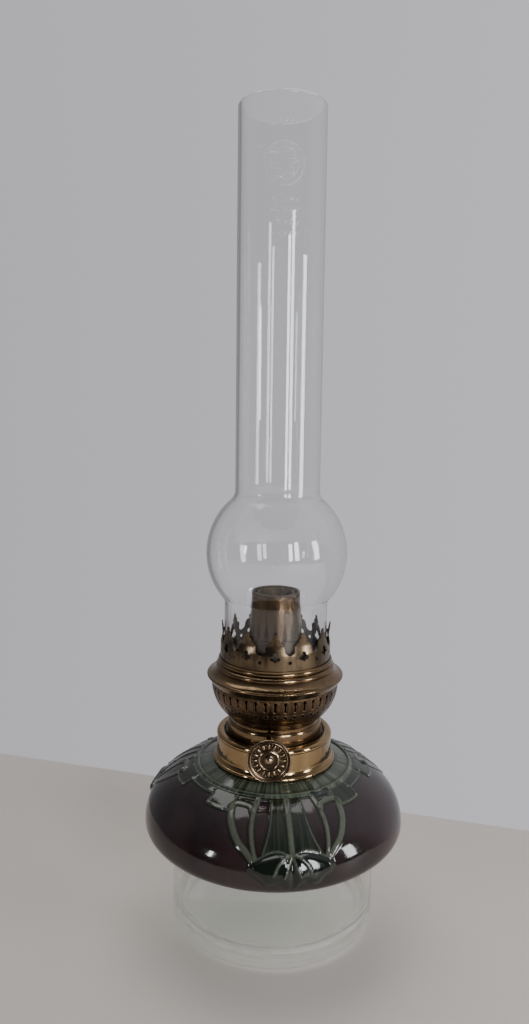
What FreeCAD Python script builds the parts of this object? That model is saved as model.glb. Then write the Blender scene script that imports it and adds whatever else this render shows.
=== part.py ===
import FreeCAD, Part
import math
import os
import re
import Sketcher

# Kerosene table lamp: a glass stand, a glazed font, a round-wick burner with
# a rack-driven wick, and a ball chimney. Millimetres, +Z up, origin on the
# table at the lamp's axis. The wick knob points to -Y.

SIZES = {
    # glass stand
    "stand_radius": 53.2,
    "stand_wall": 3.0,
    "stand_rim": 43.2,
    "stand_floor": 4.0,
    "stand_heel": 5.0,
    "stand_corner": 12.0,
    "rim_round": 1.0,
    # glazed font: belly, shoulder and underside arcs, all at the widest height
    "belly_radius": 67.8,
    "belly_height": 54.5,
    "belly_bend": 20.9,
    "belly_sweep": 43.6,
    "shoulder_bend": 52.8,
    "under_bend": 5.9,
    "under_sweep": 51.5,
    "sole_bend": 32.3,
    "font_wall": 4.5,
    "seat_width": 5.0,
    "spigot_gap": 0.6,
    "spigot_depth": 3.5,
    "spigot_wall": 4.5,
    "ridge_radius": 40.0,
    "ridge_width": 0.9,
    "ridge_rise": 0.9,
    "neck_radius": 27.0,
    "mouth_radius": 22.0,
    "neck_top": 90.0,
    # font collar of spun brass
    "collar_base": 85.2,
    "collar_top": 100.8,
    "collar_flange": 32.1,
    "collar_band": 30.0,
    "collar_sheet": 0.7,
    "collar_bead": 1.0,
    "collar_roll": 1.4,
    "roll_bend": 2.0,
    "roll_bend_in": 1.8,
    "cove_low": 2.6,
    "cove_high": 4.6,
    "cove_bend": 3.0,
    "thread_radius": 23.8,
    "thread_bottom": 91.5,
    "thread_clearance": 0.06,
    "ledge_height": 99.4,
    "flange_radius": 25.4,
    "flange_gap": 0.5,
    "washer_thickness": 0.6,
    "washer_width": 1.3,
    # burner body
    "burner_sheet": 0.6,
    "flange_thickness": 1.0,
    "skirt_bottom": 92.5,
    "skirt_wall": 0.8,
    "vent_radius": 0.8,
    "band_radius": 24.5,
    "band_top": 105.0,
    "band_bend": 2.6,
    "waist_radius": 23.4,
    "waist_height": 107.0,
    "waist_bend": 2.4,
    "basket_foot": 24.4,
    "basket_bottom": 109.6,
    "basket_radius": 33.0,
    "basket_top": 127.2,
    "basket_bend": 22.0,
    "slot_count": 42.0,
    "slot_low": 121.7,
    "slot_high": 125.2,
    "slot_width": 0.7,
    "slot_eye": 0.8,
    "slot_foot": 0.55,
    "pinhole_height": 117.8,
    "pinhole_radius": 0.6,
    # gallery: saucer disc, crown and perforated plate
    "saucer_radius": 35.5,
    "saucer_height": 131.6,
    "saucer_lip": 0.75,
    "lip_inset": 1.9,
    "lip_drop": 1.05,
    "bead_high": 29.8,
    "bead_high_level": 138.5,
    "bead_low": 30.9,
    "bead_low_level": 135.6,
    "bead_half": 1.1,
    "bead_rise": 0.6,
    "bead_bend": 1.31,
    "saucer_cove": 7.0,
    "gallery_top": 140.2,
    "crown_radius": 28.6,
    "crown_sheet": 0.5,
    "crown_foot": 136.6,
    "crown_lean": 1.2,
    "crown_waist": 152.4,
    "crown_tip": 158.6,
    "crown_prongs": 12.0,
    "crown_turn": -1.0,
    "crown_bend": 148.0,
    "gap_bottom": 148.0,
    "gap_radius": 2.5,
    "gap_side": 151.6,
    "prong_shoulder": 2.5,
    "prong_neck": 1.6,
    "prong_waist": 153.7,
    "lobe_height": 156.3,
    "lobe_neck": 1.3,
    "lobe_bend": 1.32,
    "tip_bend": 1.5,
    "club_height": 147.1,
    "club_size": 1.3,
    "dot_radius": 0.9,
    "dot_height": 144.6,
    "plate_height": 140.4,
    "plate_thickness": 0.8,
    "plate_hole": 1.5,
    "plate_holes": 24.0,
    "plate_gap": 0.6,
    "sleeve_wall": 0.6,
    "sleeve_top": 150.5,
    # wick casing, draught tube and air duct
    "casing_radius": 18.0,
    "casing_wall": 0.5,
    "casing_bottom": 93.0,
    "casing_top": 126.0,
    "cone_foot": 14.6,
    "cone_bottom": 137.5,
    "cone_gap": 1.25,
    "burner_top": 174.3,
    "rim_ring": 0.45,
    "rim_depth": 3.0,
    "draught_gap": 0.3,
    "draught_wall": 0.4,
    "draught_top": 173.6,
    "draught_bottom": 104.5,
    "plug_thickness": 0.8,
    "duct_width": 7.0,
    "duct_bottom": 106.0,
    "duct_top": 114.0,
    "duct_wall": 0.4,
    # wick and its drive
    "wick_radius": 11.15,
    "wick_thickness": 1.35,
    "wick_top": 172.0,
    "wick_bottom": 58.0,
    "wick_split_gap": 0.6,
    "split_margin": 1.5,
    "wick_drop": 6.0,
    "carrier_wall": 1.0,
    "carrier_bottom": 112.0,
    "carrier_top": 119.0,
    "gear_module": 0.5,
    "pinion_teeth": 12.0,
    "pressure_angle": 25.0,
    "tooth_thinning": 0.88,
    "tooth_tip": 0.42,
    "tooth_root": 0.56,
    "gear_width": 2.2,
    "rack_width": 2.4,
    "rack_back": 2.4,
    "rack_front": 12.5,
    "rack_teeth": 13.0,
    "rack_teeth_below": 7.0,
    "rack_end": 0.6,
    "boss_start": 0.25,
    "guide_gap": 0.1,
    "guide_wall": 0.8,
    "guide_bottom": 100.2,
    "guide_top": 108.6,
    # wick spindle, its gland and the knob; the spindle runs along -Y
    "spindle_height": 103.6,
    "spindle_radius": 1.0,
    "spindle_gap": 0.05,
    "bush_radius": 2.2,
    "bush_inner": 17.0,
    "bush_outer": 33.0,
    "stop_radius": 1.8,
    "stop_start": 15.2,
    "stop_end": 16.6,
    "nut_radius": 3.6,
    "nut_grip": 2.0,
    "nut_end": 36.4,
    "nut_web": 1.0,
    "nut_gap": 0.2,
    "knob_radius": 10.5,
    "knob_face": 48.0,
    "knob_depth": 2.0,
    "knob_sheet": 0.8,
    "knob_ring": 4.5,
    "knob_ring_half": 0.6,
    "hub_radius": 2.6,
    "hub_length": 5.0,
    "rivet_radius": 1.7,
    "rivet_rise": 0.8,
    "rivet_edge": 0.2,
    "rivet_flat": 0.5,
    "rivet_bend": 1.6,
    # ball chimney
    "chimney_foot": 26.6,
    "chimney_wall": 1.6,
    "ball_radius": 36.1,
    "ball_height": 194.5,
    "tube_radius": 21.6,
    "chimney_top": 411.3,
    "foot_fillet": 4.0,
    "tube_fillet": 6.0,
    "glass_rim": 0.7,
}
PINION_RADIUS = "(gear_module * pinion_teeth / 2)"
WICK_BORE = "(wick_radius - wick_thickness)"
DRAUGHT_RADIUS = f"({WICK_BORE} - draught_gap)"
CONE_TOP = "(wick_radius + cone_gap)"
WORD = re.compile(r"[a-z]+(?:_[a-z]+)+")

doc = FreeCAD.newDocument("TableLamp")
sheet = doc.addObject("Spreadsheet::Sheet", "Sizes")
for line, (alias, size) in enumerate(SIZES.items(), start=1):
    sheet.set(f"A{line}", alias)
    sheet.set(f"B{line}", str(size))
    sheet.setAlias(f"B{line}", alias)
doc.recompute()
subparts = []


def bound(expression):
    """Point every alias in an expression at the sheet."""
    return WORD.sub(lambda word: "Sizes." + word.group(0), expression)


def value(expression):
    """Work an expression out as a number."""
    return float(sheet.evalExpression(bound(expression)))


def bind(item, prop, expression):
    item.setExpression(prop, bound(expression))


def new_body(label):
    body = doc.addObject("PartDesign::Body", label)
    body.Label = label
    subparts.append(body)
    return body


def origin_of(body, role):
    return next(item for item in body.Origin.OriginFeatures if item.Role == role)


def new_sketch(body, name, role, offset="0", turn="0"):
    """Sketch on one of the body's planes, moved along its normal or turned about its own Y."""
    sketch = body.newObject("Sketcher::SketchObject", name)
    sketch.AttachmentSupport = [(origin_of(body, role), "")]
    sketch.MapMode = "FlatFace"
    sketch.AttachmentOffset = FreeCAD.Placement(
        FreeCAD.Vector(0, 0, value(offset)),
        FreeCAD.Rotation(FreeCAD.Vector(0, 1, 0), value(turn)),
    )
    bind(sketch, "AttachmentOffset.Base.z", offset)
    if turn != "0":
        bind(sketch, "AttachmentOffset.Rotation.Angle", turn)
    return sketch


def arc_between(start, end, radius):
    """Short arc from start to end; a positive radius turns left, a negative one right."""
    side = math.copysign(1.0, radius)
    chord = end - start
    height = math.sqrt(max(radius * radius - chord.Length ** 2 / 4, 0.0))
    across = FreeCAD.Vector(-chord.y, chord.x, 0).normalize()
    centre = (start + end) / 2 + across * height * side
    angles = [math.atan2(point.y - centre.y, point.x - centre.x) for point in (start, end)]
    if side < 0:
        angles.reverse()
    circle = Part.Circle(centre, FreeCAD.Vector(0, 0, 1), abs(radius))
    return Part.ArcOfCircle(circle, angles[0], angles[1])


def trace(sketch, corners):
    """Closed outline through corners given as (x, y), or (x, y, bend) where an arc arrives there."""
    points = [FreeCAD.Vector(value(corner[0]), value(corner[1]), 0) for corner in corners]
    ends = []
    for index, point in enumerate(points):
        arriving = corners[(index + 1) % len(corners)]
        target = points[(index + 1) % len(points)]
        if len(arriving) == 2:
            edge = sketch.addGeometry(Part.LineSegment(point, target), False)
            ends.append((edge, 1, 2))
            continue
        bend = value(arriving[2])
        edge = sketch.addGeometry(arc_between(point, target, bend), False)
        ends.append((edge, 1, 2) if bend > 0 else (edge, 2, 1))
        rule = sketch.addConstraint(Sketcher.Constraint("Radius", edge, abs(bend)))
        bind(sketch, f"Constraints[{rule}]", f"abs({arriving[2]})")
    for index, (edge, first, last) in enumerate(ends):
        following = ends[(index + 1) % len(ends)]
        sketch.addConstraint(Sketcher.Constraint("Coincident", edge, last, following[0], following[1]))
        for kind, size, expression in (
            ("DistanceX", points[index].x, corners[index][0]),
            ("DistanceY", points[index].y, corners[index][1]),
        ):
            rule = sketch.addConstraint(Sketcher.Constraint(kind, edge, first, size))
            bind(sketch, f"Constraints[{rule}]", expression)


def ring(sketch, x, y, radius):
    """Circle bound to the sheet."""
    centre = FreeCAD.Vector(value(x), value(y), 0)
    edge = sketch.addGeometry(Part.Circle(centre, FreeCAD.Vector(0, 0, 1), value(radius)), False)
    for kind, size, expression in (("DistanceX", centre.x, x), ("DistanceY", centre.y, y)):
        rule = sketch.addConstraint(Sketcher.Constraint(kind, edge, 3, size))
        bind(sketch, f"Constraints[{rule}]", expression)
    rule = sketch.addConstraint(Sketcher.Constraint("Radius", edge, value(radius)))
    bind(sketch, f"Constraints[{rule}]", radius)


def spin(body, name, corners, cut=False):
    """Turn an outline of (radius, height) corners about the body's Z axis."""
    kind = "PartDesign::Groove" if cut else "PartDesign::Revolution"
    before = body.Shape.Volume if cut else 0.0
    sketch = new_sketch(body, name + "_outline", "XZ_Plane")
    trace(sketch, corners)
    turned = body.newObject(kind, name)
    turned.Profile = sketch
    turned.ReferenceAxis = (sketch, ["V_Axis"])
    turned.Angle = 360
    doc.recompute()
    if cut and body.Shape.Volume >= before:
        raise ValueError(f"{name} removed nothing from {body.Label}")
    return turned


def sink(body, name, sketch, depth, forward=True):
    """Pocket a sketch; forward cuts along the sketch's normal, which is -Y on the XZ plane."""
    before = body.Shape.Volume
    pocket = body.newObject("PartDesign::Pocket", name)
    pocket.Profile = sketch
    bind(pocket, "Length", depth)
    pocket.Reversed = forward
    doc.recompute()
    if body.Shape.Volume >= before:
        raise ValueError(f"{name} removed nothing from {body.Label}")
    return pocket


def raise_pad(body, name, sketch, height, backward=False):
    pad = body.newObject("PartDesign::Pad", name)
    pad.Profile = sketch
    bind(pad, "Length", height)
    pad.Reversed = backward
    doc.recompute()
    return pad


def round_edges(body, name, circles, radius):
    """Fillet the circular edges found at the given (radius, height) expressions."""
    base = body.Tip
    names = []
    for edge_radius, height in circles:
        for number, edge in enumerate(base.Shape.Edges, start=1):
            if not isinstance(edge.Curve, Part.Circle):
                continue
            off = abs(edge.Curve.Radius - value(edge_radius)) + abs(edge.Curve.Center.z - value(height))
            flat = abs(edge.Curve.Axis.z) > 0.5
            if flat and off < 0.01:
                names.append(f"Edge{number}")
    fillet = body.newObject("PartDesign::Fillet", name)
    fillet.Base = (base, names)
    bind(fillet, "Radius", radius)
    doc.recompute()


def repeat_round(body, name, feature, count):
    """Repeat a feature around the body's Z axis."""
    pattern = body.newObject("PartDesign::PolarPattern", name)
    pattern.Originals = [feature]
    pattern.Axis = (origin_of(body, "Z_Axis"), [""])
    pattern.Angle = 360
    bind(pattern, "Occurrences", count)
    body.Tip = pattern
    doc.recompute()
    return pattern


def rectangle(sketch, left, right, low, high):
    trace(sketch, [(left, low), (right, low), (right, high), (left, high)])


def turn_to_spindle(body):
    """Place a body made about its Z axis on the spindle's axis, its +Z along -Y."""
    body.Placement = FreeCAD.Placement(
        FreeCAD.Vector(-value(PINION_RADIUS), 0, value("spindle_height")),
        FreeCAD.Rotation(FreeCAD.Vector(1, 0, 0), 90),
    )
    bind(body, "Placement.Base.x", "-" + PINION_RADIUS)
    bind(body, "Placement.Base.z", "spindle_height")


def glass_stand():
    body = new_body("glass_stand")
    inner = "(stand_radius - stand_wall)"
    spin(body, "bowl", [
        ("0", "0"),
        ("stand_radius - stand_heel", "0"),
        ("stand_radius", "stand_heel", "stand_heel"),
        ("stand_radius", "stand_rim - rim_round"),
        ("stand_radius - rim_round", "stand_rim", "rim_round"),
        (inner + " + rim_round", "stand_rim"),
        (inner, "stand_rim - rim_round", "rim_round"),
        (inner, "stand_floor + stand_corner"),
        (inner + " - stand_corner", "stand_floor", "-stand_corner"),
        ("0", "stand_floor"),
    ])


def font_outline(inset):
    """Arcs of the font's outside, moved in by a wall, as corners and as heights by radius."""
    belly_x = "(belly_radius - belly_bend)"
    under_x = "(belly_radius - under_bend)"
    shoulder_x = f"({belly_x} - (shoulder_bend - belly_bend) * cos(belly_sweep))"
    shoulder_z = "(belly_height - (shoulder_bend - belly_bend) * sin(belly_sweep))"
    sole_x = f"({under_x} - (sole_bend - under_bend) * cos(under_sweep))"
    sole_z = "(belly_height + (sole_bend - under_bend) * sin(under_sweep))"
    return {
        "lower": (
            f"{under_x} + (under_bend - {inset}) * cos(under_sweep)",
            f"belly_height - (under_bend - {inset}) * sin(under_sweep)",
            f"sole_bend - {inset}",
        ),
        "widest": (f"belly_radius - {inset}", "belly_height", f"under_bend - {inset}"),
        "upper": (
            f"{belly_x} + (belly_bend - {inset}) * cos(belly_sweep)",
            f"belly_height + (belly_bend - {inset}) * sin(belly_sweep)",
            f"belly_bend - {inset}",
        ),
        "shoulder_at": lambda at: (
            f"{shoulder_z} + sqrt((shoulder_bend - {inset})^2 - ({at} - {shoulder_x})^2)"
        ),
        "sole_at": lambda at: f"{sole_z} - sqrt((sole_bend - {inset})^2 - ({at} - {sole_x})^2)",
    }


def font_body():
    body = new_body("font_body")
    outside = font_outline("0")
    inside = font_outline("font_wall")
    spigot = "(stand_radius - stand_wall - spigot_gap)"
    seat = f"({spigot} + seat_width)"
    recess = f"({spigot} - spigot_wall)"
    ridge_low = "(ridge_radius - ridge_width)"
    ridge_high = "(ridge_radius + ridge_width)"
    neck_in = "(mouth_radius + font_wall)"
    spin(body, "casting", [
        ("0", "stand_rim"),
        (recess, "stand_rim"),
        (recess, "stand_rim - spigot_depth"),
        (spigot, "stand_rim - spigot_depth"),
        (spigot, "stand_rim"),
        (seat, "stand_rim"),
        (seat, outside["sole_at"](seat)),
        outside["lower"],
        outside["widest"],
        outside["upper"],
        (ridge_high, outside["shoulder_at"](ridge_high), "shoulder_bend"),
        ("ridge_radius", outside["shoulder_at"]("ridge_radius") + " + ridge_rise"),
        (ridge_low, outside["shoulder_at"](ridge_low)),
        ("collar_flange", "collar_base"),
        ("neck_radius", "collar_base"),
        ("neck_radius", "neck_top"),
        ("0", "neck_top"),
    ])
    spin(body, "reservoir", [
        ("0", inside["sole_at"](recess)),
        (recess, inside["sole_at"](recess)),
        inside["lower"],
        inside["widest"],
        inside["upper"],
        (neck_in, inside["shoulder_at"](neck_in), "shoulder_bend - font_wall"),
        ("mouth_radius", inside["shoulder_at"](neck_in)),
        ("mouth_radius", "neck_top + font_wall"),
        ("0", "neck_top + font_wall"),
    ], cut=True)


def font_collar():
    """Spun shell cemented on the font's neck; its bore is the thread's plain land."""
    body = new_body("font_collar")
    bore = "(thread_radius + thread_clearance)"
    recess = "(flange_radius + flange_gap)"
    band_in = "(collar_band - collar_sheet)"
    spin(body, "shell", [
        (bore, "thread_bottom"),
        (bore + " + collar_sheet", "thread_bottom"),
        (bore + " + collar_sheet", "ledge_height - collar_sheet"),
        (band_in, "ledge_height - collar_sheet"),
        (band_in, "collar_base + cove_low"),
        (band_in + " + collar_bead", "collar_base"),
        ("collar_flange - collar_bead", "collar_base"),
        ("collar_flange", "collar_base + collar_bead", "collar_bead"),
        ("collar_flange - collar_bead", "collar_base + 2 * collar_bead", "collar_bead"),
        ("collar_band + collar_sheet", "collar_base + cove_low"),
        ("collar_band", "collar_base + cove_high", "-cove_bend"),
        ("collar_band", "collar_top - 2 * collar_roll"),
        ("collar_band - collar_roll", "collar_top", "roll_bend"),
        (recess + " + collar_roll", "collar_top"),
        (recess, "collar_top - collar_roll / 2", "roll_bend_in"),
        (recess, "ledge_height"),
        (bore, "ledge_height"),
    ])


def tube(label, bore, radius, low, high):
    """Plain ring with a square section."""
    body = new_body(label)
    spin(body, "ring", [(bore, low), (radius, low), (radius, high), (bore, high)])
    return body


FLANGE_LOW = "(ledge_height + washer_thickness)"
FLANGE_HIGH = "(ledge_height + washer_thickness + flange_thickness)"


def burner_base():
    """Threaded skirt, flange and the floor plate that shuts the font from the air room."""
    body = new_body("burner_base")
    spin(body, "ring", [
        ("casing_radius", FLANGE_LOW + " - skirt_wall"),
        ("thread_radius - skirt_wall", FLANGE_LOW + " - skirt_wall"),
        ("thread_radius - skirt_wall", "skirt_bottom"),
        ("thread_radius", "skirt_bottom"),
        ("thread_radius", FLANGE_LOW),
        ("flange_radius", FLANGE_LOW),
        ("flange_radius", FLANGE_HIGH),
        ("band_radius - 2 * burner_sheet", FLANGE_HIGH),
        ("band_radius - 2 * burner_sheet", FLANGE_LOW),
        ("casing_radius", FLANGE_LOW),
    ])
    sketch = new_sketch(body, "vent_outline", "XY_Plane", offset="skirt_bottom")
    ring(sketch, "(casing_radius + thread_radius - skirt_wall) / 2", "0", "vent_radius")
    sink(body, "vent", sketch, FLANGE_HIGH + " - skirt_bottom")


def bush_hole(body, reach):
    """Hole through a front wall for the spindle's bush."""
    sketch = new_sketch(body, "bush_outline", "XZ_Plane")
    ring(sketch, "-" + PINION_RADIUS, "spindle_height", "bush_radius")
    sink(body, "bush_hole", sketch, reach)


def burner_neck():
    body = new_body("burner_neck")
    spin(body, "sleeve", [
        ("band_radius - burner_sheet", FLANGE_HIGH),
        ("band_radius", FLANGE_HIGH),
        ("band_radius", "band_top"),
        ("waist_radius", "waist_height", "band_bend"),
        ("basket_foot", "basket_bottom", "-waist_bend"),
        ("basket_foot - burner_sheet", "basket_bottom"),
        ("waist_radius - burner_sheet", "waist_height", "waist_bend + burner_sheet"),
        ("band_radius - burner_sheet", "band_top", "burner_sheet - band_bend"),
    ])
    bush_hole(body, "band_radius + burner_sheet")


def basket():
    """Bowl pierced with a row of dumb-bell slots and a row of pinholes under them."""
    body = new_body("basket")
    spin(body, "bowl", [
        ("basket_foot - burner_sheet", "basket_bottom", "burner_sheet - basket_bend"),
        ("basket_foot", "basket_bottom"),
        ("basket_radius", "basket_top", "basket_bend"),
        ("basket_radius - burner_sheet", "basket_top"),
    ])
    slots = new_sketch(body, "slot_outline", "XZ_Plane")
    half = "slot_width / 2"
    eye_neck = "sqrt(slot_eye^2 - (slot_width / 2)^2)"
    foot_neck = "sqrt(slot_foot^2 - (slot_width / 2)^2)"
    trace(slots, [
        (half, "slot_low + " + foot_neck, "slot_foot"),
        (half, "slot_high - " + eye_neck),
        ("slot_eye", "slot_high", "slot_eye"),
        ("0", "slot_high + slot_eye", "slot_eye"),
        ("-slot_eye", "slot_high", "slot_eye"),
        ("-" + half, "slot_high - " + eye_neck, "slot_eye"),
        ("-" + half, "slot_low + " + foot_neck),
        ("-slot_foot", "slot_low", "slot_foot"),
        ("0", "slot_low - slot_foot", "slot_foot"),
        ("slot_foot", "slot_low", "slot_foot"),
    ])
    repeat_round(body, "slots", sink(body, "slot", slots, "saucer_radius"), "slot_count")
    pinholes = new_sketch(body, "pinhole_outline", "XZ_Plane")
    ring(pinholes, "0", "pinhole_height", "pinhole_radius")
    repeat_round(body, "pinholes", sink(body, "pinhole", pinholes, "saucer_radius"), "slot_count")


def gallery():
    """Saucer disc with a rolled lip and two beads, carrying the crown."""
    body = new_body("gallery")
    spin(body, "saucer", [
        ("basket_radius - burner_sheet", "basket_top"),
        ("basket_radius", "basket_top"),
        ("saucer_radius - saucer_lip", "saucer_height - 2 * saucer_lip"),
        ("saucer_radius", "saucer_height - saucer_lip", "saucer_lip"),
        ("saucer_radius - saucer_lip", "saucer_height", "saucer_lip"),
        ("bead_low - bead_rise", "bead_low_level - bead_half", "-saucer_cove"),
        ("bead_low - bead_rise", "bead_low_level + bead_half", "bead_bend"),
        ("bead_high - bead_rise", "bead_high_level - bead_half"),
        ("bead_high - bead_rise", "bead_high_level + bead_half", "bead_bend"),
        ("crown_radius + burner_sheet", "gallery_top"),
        ("crown_radius", "gallery_top"),
        ("crown_radius", "crown_foot"),
        ("bead_low - bead_rise - burner_sheet", "bead_low_level - bead_half - burner_sheet"),
        ("saucer_radius - lip_inset", "saucer_height - lip_drop"),
    ])


# A club of three lobes on a stem: x, height and arriving bend over its size.
CLUB_SHAPE = [
    (0.35, -1.0),
    (2.0, -0.6, 1.0),
    (0.9, 0.5, 0.9),
    (0, 2.0, 1.05),
    (-0.9, 0.5, 1.05),
    (-2.0, -0.6, 0.9),
    (-0.35, -1.0, 1.0),
    (-0.6, -1.9),
    (0.6, -1.9),
]


def crown():
    """Pronged ring that grips the chimney's foot: gaps, club holes and dots are pierced."""
    body = new_body("crown")
    neck = "crown_radius - crown_lean"
    spin(body, "band", [
        ("crown_radius - crown_sheet", "crown_foot"),
        ("crown_radius", "crown_foot"),
        ("crown_radius", "crown_bend"),
        (neck, "crown_waist"),
        (neck, "crown_tip"),
        (neck + " - crown_sheet", "crown_tip"),
        (neck + " - crown_sheet", "crown_waist"),
        ("crown_radius - crown_sheet", "crown_bend"),
    ])
    half_turn = "180 / crown_prongs"
    half = f"(crown_radius * sin({half_turn}))"
    right = [
        ("gap_radius", "gap_bottom + gap_radius", "gap_radius"),
        ("gap_radius", "gap_side"),
        (half + " - prong_neck", "prong_waist", "-prong_shoulder"),
        (half + " - lobe_neck", "lobe_height", "-lobe_bend"),
        (half, "crown_tip", "-tip_bend"),
    ]
    left = [(f"-({x})", z) for x, z, *bend in reversed(right)]
    bends = [bend for x, z, *bend in reversed(right)]
    gap = new_sketch(body, "gap_outline", "XZ_Plane", turn=half_turn)
    trace(gap, [("0", "gap_bottom", *bends[-1])] + right + [
        (half, "crown_tip + crown_lean"),
        (f"-({half})", "crown_tip + crown_lean"),
        left[0],
    ] + [(*corner, *bend) for corner, bend in zip(left[1:], bends)])
    repeat_round(body, "gaps", sink(body, "gap", gap, "saucer_radius"), "crown_prongs")
    dot = new_sketch(body, "dot_outline", "XZ_Plane", turn=half_turn)
    ring(dot, "0", "dot_height", "dot_radius")
    repeat_round(body, "dots", sink(body, "dot", dot, "saucer_radius"), "crown_prongs")
    club = new_sketch(body, "club_outline", "XZ_Plane")
    trace(club, [
        (f"{x} * club_size", f"club_height + {z} * club_size", *(f"{each} * club_size" for each in bend))
        for x, z, *bend in CLUB_SHAPE
    ])
    repeat_round(body, "clubs", sink(body, "club", club, "saucer_radius"), "crown_prongs")
    body.Placement.Rotation = FreeCAD.Rotation(FreeCAD.Vector(0, 0, 1), value("crown_turn"))
    bind(body, "Placement.Rotation.Angle", "crown_turn")


PLATE_TOP = "(plate_height + plate_thickness)"


def gallery_plate():
    """Perforated plate the chimney stands on, turned up in a sleeve round the cone."""
    body = new_body("gallery_plate")
    inner = "(cone_foot + plate_gap)"
    outer = "(crown_radius - crown_sheet)"
    spin(body, "plate", [
        (inner, "plate_height"),
        (outer, "plate_height"),
        (outer, PLATE_TOP),
        (inner + " + sleeve_wall", PLATE_TOP),
        (inner + " + sleeve_wall", "sleeve_top"),
        (inner, "sleeve_top"),
    ])
    sketch = new_sketch(body, "hole_outline", "XY_Plane")
    ring(sketch, f"({inner} + chimney_foot - chimney_wall) / 2", "0", "plate_hole")
    hole = sink(body, "hole", sketch, "crown_tip")
    repeat_round(body, "holes", hole, "plate_holes")


def back_window(body, name, margin, reach):
    """Rectangular opening towards +Y for the air duct."""
    sketch = new_sketch(body, name + "_outline", "XZ_Plane")
    half = f"(duct_width / 2 - {margin})"
    rectangle(sketch, "-" + half, half, f"duct_bottom + {margin}", f"duct_top - {margin}")
    sink(body, name, sketch, reach, forward=False)


def wick_casing():
    """Outer wick tube: a wide case round the drive, drawn in to the cone at the top."""
    body = new_body("wick_casing")
    spin(body, "case", [
        ("casing_radius - casing_wall", "casing_bottom"),
        ("casing_radius", "casing_bottom"),
        ("casing_radius", "casing_top"),
        ("cone_foot", "cone_bottom"),
        (CONE_TOP, "burner_top"),
        (CONE_TOP + " - casing_wall", "burner_top"),
        ("cone_foot - casing_wall", "cone_bottom"),
        ("casing_radius - casing_wall", "casing_top"),
    ])
    bush_hole(body, "casing_radius + casing_wall")
    back_window(body, "duct_window", "0", "casing_radius + casing_wall")


def tube_rim():
    """Stiffening ring inside the cone's mouth."""
    mouth = f"({CONE_TOP} - casing_wall)"
    tube("tube_rim", mouth + " - rim_ring", mouth, "burner_top - rim_depth", "burner_top")


def draught_tube():
    bore = f"({DRAUGHT_RADIUS} - draught_wall)"
    body = tube("draught_tube", bore, DRAUGHT_RADIUS, "draught_bottom", "draught_top")
    back_window(body, "air_window", "duct_wall", DRAUGHT_RADIUS + " + draught_wall")


def draught_plug():
    body = new_body("draught_plug")
    sketch = new_sketch(body, "plug_outline", "XY_Plane", offset="draught_bottom")
    ring(sketch, "0", "0", DRAUGHT_RADIUS + " - draught_wall")
    raise_pad(body, "plug", sketch, "plug_thickness")


def trim_round(body, name, inner, outer, low, high):
    """Cut away everything of a body between two radii."""
    spin(body, name, [(inner, low), (outer, low), (outer, high), (inner, high)], cut=True)


def air_duct():
    """Rectangular duct from the air room through the split wick to the draught tube."""
    body = new_body("air_duct")
    sketch = new_sketch(body, "duct_outline", "XZ_Plane")
    rectangle(sketch, "-duct_width / 2", "duct_width / 2", "duct_bottom", "duct_top")
    half = "(duct_width / 2 - duct_wall)"
    rectangle(sketch, "-" + half, half, "duct_bottom + duct_wall", "duct_top - duct_wall")
    raise_pad(body, "duct", sketch, "casing_radius", backward=True)
    low = "duct_bottom - duct_wall"
    high = "duct_top + duct_wall"
    trim_round(body, "inner_end", "0", DRAUGHT_RADIUS, low, high)
    trim_round(body, "outer_end", "casing_radius", "casing_radius + duct_width", low, high)


def back_split(body, low, high):
    """Gap along the back that lets the air duct through."""
    sketch = new_sketch(body, "split_outline", "XZ_Plane")
    half = "(duct_width / 2 + wick_split_gap)"
    rectangle(sketch, "-" + half, half, low, high)
    sink(body, "split", sketch, "casing_radius", forward=False)


def wick():
    body = tube("wick", WICK_BORE, "wick_radius", "wick_bottom", "wick_top")
    back_split(body, "wick_bottom - split_margin", "duct_top + wick_drop + split_margin")


def wick_carrier():
    """Split clamp ring round the wick, with a boss that the rack is soldered to."""
    body = tube("wick_carrier", "wick_radius", "wick_radius + carrier_wall", "carrier_bottom", "carrier_top")
    back_split(body, "carrier_bottom - split_margin", "carrier_top + split_margin")
    start = "(wick_radius + boss_start * carrier_wall)"
    sketch = new_sketch(body, "boss_outline", "XZ_Plane", offset=start)
    left = "(tooth_root + boss_start)"
    rectangle(sketch, left, "rack_back - boss_start", "carrier_bottom", "carrier_top")
    raise_pad(body, "boss", sketch, "rack_front - " + start)


def wick_rack():
    """Straight rack on the carrier: its teeth face -X and its pitch line is the lamp's axis plane."""
    body = new_body("wick_rack")
    pitch = "(pi * gear_module)"
    slope = "tan(pressure_angle)"
    half = f"({pitch} * tooth_thinning / 4)"
    corners = [("rack_back", "carrier_top"), ("tooth_root", "carrier_top")]
    for tooth in reversed(range(int(value("rack_teeth")))):
        middle = f"(spindle_height + ({tooth} - rack_teeth_below) * {pitch})"
        corners += [
            ("tooth_root", f"{middle} + {half} + tooth_root * {slope}"),
            ("-tooth_tip", f"{middle} + {half} - tooth_tip * {slope}"),
            ("-tooth_tip", f"{middle} - {half} + tooth_tip * {slope}"),
            ("tooth_root", f"{middle} - {half} - tooth_root * {slope}"),
        ]
    bottom = f"spindle_height - (rack_teeth_below + 0.5) * {pitch} - rack_end"
    corners += [("tooth_root", bottom), ("rack_back", bottom)]
    sketch = new_sketch(body, "rack_outline", "XZ_Plane", offset="rack_front")
    trace(sketch, corners)
    raise_pad(body, "bar", sketch, "rack_width")


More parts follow.
